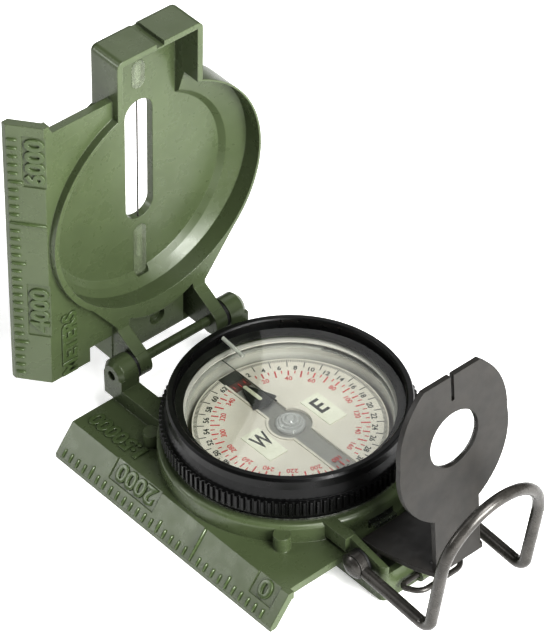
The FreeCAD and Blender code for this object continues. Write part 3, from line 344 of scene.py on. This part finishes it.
# marks on the cover are laid out with the cover closed, then opened with it
OPENED = (Matrix.Translation(HINGE) @ Matrix.Rotation(math.radians(-COVER_OPEN), 4, "X")
          @ Matrix.Translation(-HINGE))
FLAT = Matrix.Identity(4)
RIDGE_X = -26.4
PLATE_TOP = 6.7
EDGE_X = -30.9
EDGE_Z = 1.0
CLOSED_TOP = 25.0
BEVEL = Vector((EDGE_X - RIDGE_X, 0, EDGE_Z - PLATE_TOP))
BEVEL_LENGTH = BEVEL.length
METRES_PER_MM = 50
CASE_ZERO_Y = -25.9             # the scale's zero on the case
HINGE_METRES = 3000             # what the scale says at the hinge
RIB_WIDTH = 0.6
RIB_HEIGHT = 0.5
LONG_RIB = 7.2
MIDDLE_RIB = 2.9
SHORT_RIB = 2.0
RIB_MARGIN = 0.12               # from the ribs' ends to the thin edge
PAD_DEPTH = 0.25                # the numbers stand in sunken pads
PAD_MIDDLE = 2.0
LETTER_MIDDLE = 0.1             # of a number's thickness, over the pad's floor
LETTER_THICK = 0.3
LETTER_ROUND = 0.15
LETTER_BOLD = 0.09
DIGIT_HEIGHT = 3.45
DIGIT_ASPECT = 0.76
LABEL_HEIGHT = 3.3
LABEL_LIFT = 0.12
CASE_LABEL_WIDTH = 14.4
COVER_LABEL_WIDTH = 15.2


def mirror_z(point, mirrored):
    return Vector((point[0], point[1], CLOSED_TOP - point[2])) if mirrored else Vector(point)


def bevel_place(y, down, mirrored, lift=0.0):
    """Placement on a bevel: Y down the slope, Z out of it; down is measured from the ridge."""
    slope = BEVEL.normalized()
    if mirrored:
        slope.z = -slope.z
    along = (0, -1, 0) if mirrored else (0, 1, 0)
    start = mirror_z((RIDGE_X, y, PLATE_TOP), mirrored)
    place = axes(start + slope * down, along, slope)
    return place @ Matrix.Translation((0, 0, lift))


def raised_text(bm, text, placement, height, width):
    add_text(bm, text, placement, height, LETTER_THICK, LETTER_ROUND, LETTER_BOLD, width)


def scale_marks(name, first, last, y_of, mirrored, opened, body, numbers):
    """Ribs of one scale, as a piece; its numbers are returned as a bmesh that a label can join."""
    ribs = bmesh.new()
    letters = bmesh.new()
    for metres in range(first, last + 1, 100):
        # a long rib marks each odd thousand, and a number each even one that is marked
        if metres % 2000 == 1000:
            length = LONG_RIB
        elif metres % 1000 == 500:
            length = MIDDLE_RIB
        else:
            length = SHORT_RIB
        down = BEVEL_LENGTH - RIB_MARGIN - length / 2
        add_rib(ribs, opened @ bevel_place(y_of(metres), down, mirrored), length, RIB_WIDTH, RIB_HEIGHT)
    for text, y in numbers:
        place = bevel_place(y, PAD_MIDDLE, mirrored, LETTER_MIDDLE - PAD_DEPTH)
        raised_text(letters, text, opened @ place, DIGIT_HEIGHT, DIGIT_HEIGHT * DIGIT_ASPECT * len(text))
    piece(name + "_ribs", ribs, SHADED_MARK_GREEN, body)
    return letters


base_letters = scale_marks("case_scale", 0, 2900, lambda m: CASE_ZERO_Y + m / METRES_PER_MM, False,
                           FLAT, "case", (("0", -24.0), ("2000", 13.5)))
raised_text(base_letters, "1:50000",
            axes((-22.6, 25.0, PLATE_TOP + LABEL_LIFT), (0, 1, 0), (-1, 0, 0)),
            LABEL_HEIGHT, CASE_LABEL_WIDTH)
piece("case_scale_numbers", base_letters, SHADED_MARK_GREEN, "case")
cover_letters = scale_marks("cover_scale", 3100, 6000,
                            lambda m: HINGE.y - (m - HINGE_METRES) / METRES_PER_MM, True, OPENED,
                            "cover", (("4000", 15.6), ("6000", -20.9)))
raised_text(cover_letters, "METERS",
            OPENED @ axes((-22.0, 25.9, CLOSED_TOP - PLATE_TOP - LABEL_LIFT), (0, -1, 0), (-1, 0, 0)),
            LABEL_HEIGHT, COVER_LABEL_WIDTH)
piece("cover_scale_numbers", cover_letters, SHADED_MARK_GREEN, "cover")


# ---------------------------------------------------------------- dial card

CARD_TOP = 13.2
MAGNET_TOP = 13.0
ARROW_TOP = 13.75
PRINT = 0.03                    # how far print reaches over and under the card's surface
MILS = 6400
TICK_OUTER = 18.6
TICK_INNER = 17.9
TICK_WIDTH = 0.13
LONG_TICK_INNER = 16.5
LONG_TICK_WIDTH = 0.17
NUMBER_R = 16.2
NUMBER_HEIGHT = 1.1
RED_OUTER = 15.35
RED_NUMBER_R = 13.1
RED_NUMBER_HEIGHT = 1.05
PATCH_TOP = 13.35
PATCH_LETTER_HEIGHT = 3.75
PATCH_LETTER_BOLD = 0.09


def around(angle_deg, radius, height=CARD_TOP):
    """Placement at a bearing from north, with Y pointing outward."""
    turn = Matrix.Rotation(-math.radians(angle_deg), 4, "Z")
    return turn @ Matrix.Translation((0, radius, height))


def radial_tick(bm, angle_deg, inner, outer, width):
    add_slab(bm, around(angle_deg, (inner + outer) / 2), width, outer - inner, -PRINT, PRINT)


black_print = bmesh.new()
for mils in range(0, MILS, 20):
    bearing = mils * 360 / MILS
    if mils % 200 == 100:
        radial_tick(black_print, bearing, LONG_TICK_INNER, TICK_OUTER, LONG_TICK_WIDTH)
    else:
        radial_tick(black_print, bearing, TICK_INNER, TICK_OUTER, TICK_WIDTH)
for hundreds in range(2, 64, 2):
    add_text(black_print, str(hundreds), around(hundreds * 36000 / MILS, NUMBER_R), NUMBER_HEIGHT,
             2 * PRINT, bold=0.03)
piece("dial_print_black", black_print, INK, "dial")

red_print = bmesh.new()
for bearing in range(0, 360, 5):
    if bearing % 20 == 10:
        inner, width = 13.5, 0.30
    elif bearing % 20 == 0:
        inner, width = 13.95, 0.30
    else:
        inner, width = 14.55, 0.22
    radial_tick(red_print, bearing, inner, RED_OUTER, width)
for bearing in range(20, 360, 20):
    add_text(red_print, str(bearing), around(bearing, RED_NUMBER_R), RED_NUMBER_HEIGHT, 2 * PRINT,
             bold=0.02)
piece("dial_print_red", red_print, RED, "dial")

patch_letters = bmesh.new()
for text, x, width in (("E", 7.5, 2.0), ("W", -7.2, 3.5)):
    add_text(patch_letters, text, Matrix.Translation((x, 0.05, PATCH_TOP)), PATCH_LETTER_HEIGHT,
             2 * PRINT, bold=PATCH_LETTER_BOLD, width=width)
piece("dial_letters", patch_letters, ARROW, "dial")

north_block = bmesh.new()
add_slab(north_block, Matrix.Translation((0, 17.3, CARD_TOP)), 4.4, 2.7, -PRINT, 0.05)
piece("dial_north_block", north_block, ARROW, "dial")
north_end = bmesh.new()
add_slab(north_end, Matrix.Translation((0, 15.0, MAGNET_TOP)), 4.1, 2.7, -PRINT, PRINT)
piece("magnet_north_end", north_end, RED_SHADE, "dial")
strip = bmesh.new()
add_rib(strip, Matrix.Translation((0.0, 11.0, ARROW_TOP)), 5.2, 0.95, 0.22)
piece("north_arrow_strip", strip, STRIP, "dial")


# ---------------------------------------------------------------- index line on the fixed crystal

CRYSTAL_TOP = 16.3
LINE_LOW = -0.02
LINE_HIGH = 0.04
line = bmesh.new()
add_slab(line, Matrix.Translation((0, 13.0, CRYSTAL_TOP)), 0.15, 14.0, LINE_LOW, LINE_HIGH)
add_slab(line, Matrix.Translation((0.05, 5.0, CRYSTAL_TOP)), 0.32, 2.0, LINE_LOW, LINE_HIGH)
piece("index_line", line, ARROW, "case")


# ---------------------------------------------------------------- floor, light and camera

FLOOR_REACH_M = 3.0
FLOOR_GAP = 0.02
floor_z = cad_box[0].z - FLOOR_GAP * MM
floor_mesh = bpy.data.meshes.new("floor")
floor_mesh.from_pydata([(x * FLOOR_REACH_M, y * FLOOR_REACH_M, floor_z)
                        for x, y in ((-1, -1), (1, -1), (1, 1), (-1, 1))], [], [(0, 1, 2, 3)])
floor = bpy.data.objects.new("floor", floor_mesh)
bpy.context.scene.collection.objects.link(floor)
paper = Shader("floor_white")
paper.principled(Base_Color=paper.ramp(paper.noise(0.002), (0.86, 0.86, 0.86), (0.88, 0.88, 0.88)),
                 Roughness=0.9, Emission_Color=(1, 1, 1, 1), Emission_Strength=0.5)
floor_mesh.materials.append(paper.material)

scene = bpy.context.scene
scene.view_settings.view_transform = "Standard"
scene.view_settings.gamma = 0.75
world = bpy.data.worlds.new("surround")
world.use_nodes = True
background = world.node_tree.nodes["Background"]
background.inputs["Color"].default_value = (1, 1, 1, 1)
background.inputs["Strength"].default_value = 0.05
scene.world = world

LIGHT_AIM = Vector((0, 0, 30))
LIGHT_DISTANCE = 600


def softbox(name, bearing, elevation, power, size=300):
    """A square softbox that faces the object; bearing is counted from +X towards +Y."""
    flat = LIGHT_DISTANCE * math.cos(math.radians(elevation))
    place = Vector((flat * math.cos(math.radians(bearing)), flat * math.sin(math.radians(bearing)),
                    LIGHT_AIM.z + LIGHT_DISTANCE * math.sin(math.radians(elevation))))
    lamp = bpy.data.lights.new(name, "AREA")
    lamp.shape = "RECTANGLE"
    lamp.size = size * MM
    lamp.size_y = size * MM
    lamp.energy = power
    made = bpy.data.objects.new(name, lamp)
    made.location = place * MM
    made.rotation_euler = (LIGHT_AIM - place).to_track_quat("-Z", "Y").to_euler()
    scene.collection.objects.link(made)


softbox("softbox_front", 272, 18, 9.0)
softbox("softbox_front_high", 268, 58, 4.2)
softbox("softbox_left_back_low", 142, 19, 1.0, size=180)
softbox("softbox_left_back_high", 140, 50, 0.8)
softbox("softbox_back_right", 50, 42, 0.5)

CAMERA_PLACE = Vector((-314.8, -354.6, 448.2)) * MM
CAMERA_FORWARD = Vector((0.49876, 0.57002, -0.65293))
CAMERA_RIGHT = Vector((0.75011, -0.66129, -0.00432))
CAMERA_LENS = 189.17
camera_data = bpy.data.cameras.new("camera")
camera_data.lens = CAMERA_LENS
camera_data.sensor_width = 36.0
camera_data.clip_start = 0.05
camera_data.clip_end = 20.0
camera = bpy.data.objects.new("camera", camera_data)
up = CAMERA_RIGHT.cross(CAMERA_FORWARD).normalized()
turn = Matrix((CAMERA_RIGHT, up, -CAMERA_FORWARD)).transposed().to_4x4()
camera.matrix_world = Matrix.Translation(CAMERA_PLACE) @ turn
scene.collection.objects.link(camera)
scene.camera = camera
